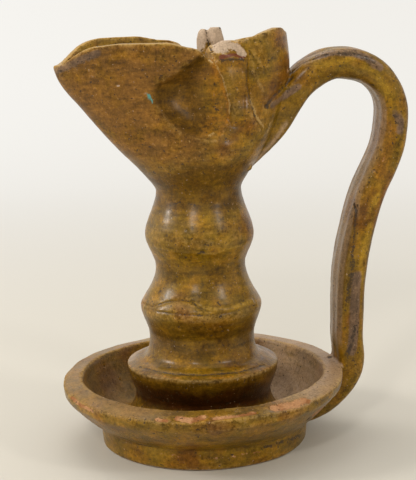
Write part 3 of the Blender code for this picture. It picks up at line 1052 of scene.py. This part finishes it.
glazeLook = {
    "ochre": colour(0.222, 0.108, 0.0030),
    "olive": colour(0.160, 0.088, 0.0025),
    "brown": colour(0.155, 0.060, 0.0025),
    "matt": colour(0.175, 0.078, 0.0110),
    "deep": colour(0.096, 0.0440, 0.0012),
    "treacle": colour(0.032, 0.0085, 0.0003),
    "amber": colour(0.300, 0.118, 0.0040),
    "sun": colour(0.330, 0.185, 0.0080),
    "light": colour(0.420, 0.265, 0.085),
    "dark": colour(0.042, 0.0180, 0.0020),
    "worn": colour(0.235, 0.138, 0.062),
    "pale": colour(0.400, 0.270, 0.165),
    "mauve": colour(0.150, 0.088, 0.048),
    "clay": colour(0.470, 0.350, 0.245),
    "rust": colour(0.430, 0.220, 0.100),
    "rustDark": colour(0.260, 0.105, 0.035),
    "brick": colour(0.150, 0.042, 0.014),
    "umber": colour(0.036, 0.023, 0.013),
    "teal": colour(0.090, 0.260, 0.230),
    "specularLevel": 0.10,
    "coatRoughness": 0.27,
    "bumpDepth": 0.00032,
}


def clothedInGlaze():
    look = glazeLook
    material = bpy.data.materials.new("ochre_lead_glaze")
    material.use_nodes = True
    tree = material.node_tree
    shader = tree.nodes["Principled BSDF"]
    start = Wire(tree)
    place = start.node("TexCoord", {}, {}, out=3)

    def grain(place, scale, detail, rough):
        values = {"Vector": place, "Scale": scale, "Detail": detail, "Roughness": rough}
        return start.node("TexNoise", {}, values)

    def cloud(scale, detail=4.0, rough=0.55, stretch=(1, 1, 1), shift=0.0):
        moved = start.node("Mapping", {}, {0: place, 1: (shift, shift, shift), 3: stretch})
        return grain(moved, scale, detail, rough)

    def laidOut(name):
        return start.node("Attribute", {"attribute_name": name}, {}, out=2)

    def painted(name, ragged):
        # A painted share with a ragged edge
        return (laidOut(name) + (ragged - 0.5) * 2.4).step(0.35, 0.60)

    broad = cloud(46, 3)
    patches = cloud(120, 5, 0.6, shift=0.3)
    streaks = cloud(190, 5, 0.6, stretch=(0.45, 0.45, 1.8), shift=1.1)
    beside = start.node("SeparateXYZ", {}, {0: place}, out=1)
    downStrap = {0: laidOut("run") * 0.3, 1: beside * 1.7, 2: laidOut("off") * 1.7}
    lengthwise = grain(start.node("CombineXYZ", {}, downStrap), 190, 5, 0.6)
    onStrap = laidOut("onStrap")
    streaks = streaks * (1 - onStrap) + lengthwise * onStrap
    mottle = cloud(560, 6, 0.7, shift=0.7)
    fine = cloud(1300, 4, 0.7, shift=2.3)
    spots = cloud(700, 1, 0.5, shift=1.7)
    flecks = cloud(900, 1, 0.5, shift=5.1)

    stops = ((0.36, look["brown"]), (0.46, look["ochre"]), (0.54, look["olive"]), (0.66, look["ochre"]))
    tone = start.node("ValToRGB", {"stops": stops}, {0: broad})
    pool, edge, worn, matt = (laidOut(name) for name in ("pool", "edge", "worn", "matt"))
    tone = tone.laid(look["matt"], matt * (patches.step(0.30, 0.55) * 0.5 + 0.45))
    tone = tone.laid(look["sun"], laidOut("sun") * patches.step(0.35, 0.60))
    # Deep tone where glaze lies thick and where shade is painted: the stem's pools, the thumb hollow,
    # the saucer's front ledge
    thickAndShaded = (laidOut("deep") + pool.step(0.05, 0.5)).step(0.0, 1.0)
    tone = tone.laid(look["deep"], thickAndShaded * (patches.step(0.66, 0.36) * 0.35 + 0.6))
    # The darkest of these, beside the collar, go treacle dark: dark glaze and the saucer's painted
    # shade
    tone = tone.laid(look["treacle"], (pool * (patches.step(0.72, 0.32) * 0.3 + 0.8)).step(0.52, 0.95))
    tone = tone.laid(look["amber"], laidOut("amber") * (mottle.step(0.3, 0.6) * 0.6 + 0.25))
    tone = tone.laid(look["mauve"], (laidOut("mauve") + (mottle - 0.5) * 0.8).step(0.25, 0.75))
    tone = tone.shaded(streaks * 2.2 - 0.1)
    tone = tone.shaded(mottle * 1.9 + 0.05)
    tone = tone.laid(look["worn"], worn * (mottle.step(0.30, 0.60) * 0.5 + 0.45))
    tone = tone.laid(look["pale"], laidOut("pale") * (mottle.step(0.30, 0.60) * 0.4 + 0.55))
    thin = 1 - pool.step(0.2, 0.6)
    tone = tone.laid(look["light"], (mottle + fine * 0.5).step(0.86, 1.04) * thin * 0.35)
    # Dark specks are kept off the worn glaze and off the pale places, the painted sheen among them
    clearOfWearAndSheen = (1 - worn * 0.7) * (1 - laidOut("pale") * 0.8)
    tone = tone.laid(look["dark"], (mottle + patches * 0.6).step(0.74, 0.56) * clearOfWearAndSheen * 0.45)
    tone = tone.laid(look["light"], edge * thin * mottle.step(0.40, 0.58) * 0.5)
    tone = tone.laid(look["light"], painted("light", mottle) * 0.7)
    rustTones = {0: patches.step(0.40, 0.58), 6: look["rustDark"], 7: look["rust"]}
    rust = start.node("Mix", {"data_type": "RGBA"}, rustTones, out=2)
    tone = tone.laid(rust, painted("rust", mottle))
    tone = tone.laid(look["brick"], painted("brick", mottle))
    tone = tone.laid(look["clay"], painted("clay", mottle))
    tone = tone.laid(look["umber"], painted("umber", mottle) * 0.85)
    tone = tone.laid(look["teal"], laidOut("teal").step(0.2, 0.6))
    tone = tone.laid(look["umber"], spots.step(0.70, 0.73) * 0.8)
    tone = tone.laid(look["clay"], flecks.step(0.755, 0.775) * 0.5)
    tone = tone.shaded(fine * 1.3 + 0.35)
    tree.links.new(tone.socket, shader.inputs["Base Color"])

    bare = painted("rust", mottle) + painted("clay", mottle) + worn * 0.7 + edge * 0.5 + matt * 0.35
    bare = bare.step(0.0, 1.0)
    rough = bare * 0.30 + laidOut("deep") * 0.15 + mottle * 0.25 + 0.26
    tree.links.new(rough.socket, shader.inputs["Roughness"])
    gloss = (1 - bare) * (1 - laidOut("deep") * 0.85) * (patches.step(0.35, 0.6) * 0.25 + 0.20)
    tree.links.new(gloss.socket, shader.inputs["Coat Weight"])
    height = mottle * 0.8 + streaks * 0.7 + fine * 0.5 - spots.step(0.70, 0.75) * 0.7 - bare * 0.3
    bump = start.node("Bump", {}, {"Strength": 0.6, "Distance": look["bumpDepth"], "Height": height})
    tree.links.new(bump.socket, shader.inputs["Normal"])
    shader.inputs["Specular IOR Level"].default_value = look["specularLevel"]
    shader.inputs["Coat Roughness"].default_value = look["coatRoughness"]
    return material


stage = {
    "flat": 0.70,
    "bend": 0.55,
    "height": 1.6,
    "paper": colour(0.56, 0.53, 0.465),
    "glow": colour(0.95, 0.935, 0.90),
    "glowStart": 0.02,
    "glowFull": 1.05,
    "glowShare": 0.95,
    "frontShare": 0.15,
    "rightShare": 0.86,
}


def makeStage():
    # A pale paper floor that curves up all round into a softly lit backdrop
    points = [(0.0, 0.0), (stage["flat"], 0.0)]
    bent = 24
    for i in range(1, bent + 1):
        angle = math.radians(90) * i / bent
        points.append((
            stage["flat"] + stage["bend"] * math.sin(angle),
            stage["bend"] * (1 - math.cos(angle)),
        ))
    points.append((stage["flat"] + stage["bend"], stage["height"]))
    floor = turnedBody("tabletop", points, 96)
    editAll(floor)
    bpy.ops.mesh.normals_make_consistent(inside=True)
    bpy.ops.object.mode_set(mode="OBJECT")
    bpy.ops.object.shade_smooth()
    material = bpy.data.materials.new("pale_paper")
    material.use_nodes = True
    tree = material.node_tree
    shader = tree.nodes["Principled BSDF"]
    shader.inputs["Base Color"].default_value = stage["paper"]
    shader.inputs["Roughness"].default_value = 0.9
    start = Wire(tree)
    place = start.node("TexCoord", {}, {}, out=3)
    # The backdrop glows more the farther it is, and less on the side that the photo was taken from
    away = start.node("VectorMath", {"operation": "LENGTH"}, {0: place}, out=1)
    behind = start.node("SeparateXYZ", {}, {0: place}, out=1)
    glow = start.node("Emission", {}, {0: stage["glow"]})
    share = away.step(stage["glowStart"], stage["glowFull"]) * stage["glowShare"]
    share = share * (behind.step(-0.5, 0.3) * (1 - stage["frontShare"]) + stage["frontShare"])
    aside = start.node("SeparateXYZ", {}, {0: place}, out=0)
    share = share * (aside.step(0.5, -0.3) * (1 - stage["rightShare"]) + stage["rightShare"])
    either = start.node("MixShader", {}, {0: share, 1: Wire(tree, shader.outputs[0]), 2: glow})
    tree.links.new(either.socket, tree.nodes["Material Output"].inputs[0])
    floor.data.materials.append(material)


# Where each light stands in degrees, from the camera's own direction round to its right, and how high
lights = {
    "window": {"round": -84, "up": 27, "size": 0.20, "power": 3.9},
    "front": {"round": -16, "up": 32, "size": 0.09, "power": 1.7},
    "side": {"round": 54, "up": 30, "size": 0.12, "power": 1.7},
    "above": {"round": -150, "up": 70, "size": 0.60, "power": 2.5},
}
lightReach = 0.95


def makeLights():
    aim = Vector((0.01, 0.0, 0.09))
    for name, one in lights.items():
        facing = photoView["azimuth"] - math.radians(90) + math.radians(one["round"])
        rise = math.radians(one["up"])
        out, up = lightReach * math.cos(rise), lightReach * math.sin(rise)
        away = Vector((out * math.cos(facing), out * math.sin(facing), up))
        bpy.ops.object.light_add(type="AREA", location=aim + away)
        softbox = bpy.context.object
        softbox.name = name + "Softbox"
        softbox.data.size = one["size"]
        softbox.data.energy = one["power"]
        softbox.data.color = (1.0, 0.97, 0.93)
        softbox.rotation_euler = (-away).to_track_quat("-Z", "Y").to_euler()
        softbox.visible_camera = False
    world = bpy.data.worlds.new("paleRoom")
    world.use_nodes = True
    world.node_tree.nodes["Background"].inputs[0].default_value = stage["glow"]
    world.node_tree.nodes["Background"].inputs[1].default_value = 0.9
    bpy.context.scene.world = world


def makeCamera():
    right, down, forward, eye = photoAxes()
    bpy.ops.object.camera_add()
    camera = bpy.context.object
    stance = Matrix((right, -down, -forward)).transposed().to_4x4()
    stance.translation = eye
    camera.matrix_world = stance
    camera.data.sensor_width = photoView["sensor"]
    camera.data.lens = photoView["focal"] * photoView["sensor"] / photoView["tall"]
    camera.data.clip_start = 0.01
    bpy.context.scene.camera = camera


def main():
    bpy.context.scene.view_settings.view_transform = "Standard"
    makeCamera()
    makeStage()
    makeLights()
    lamp = makeBody()
    pickOnly(lamp)
    lamp.data.materials.clear()
    lamp.data.materials.append(clothedInGlaze())
    bpy.ops.object.shade_smooth()
    print("finished with", len(lamp.data.polygons), "faces")
    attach(lamp, "root")
    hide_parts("lamp")


main()
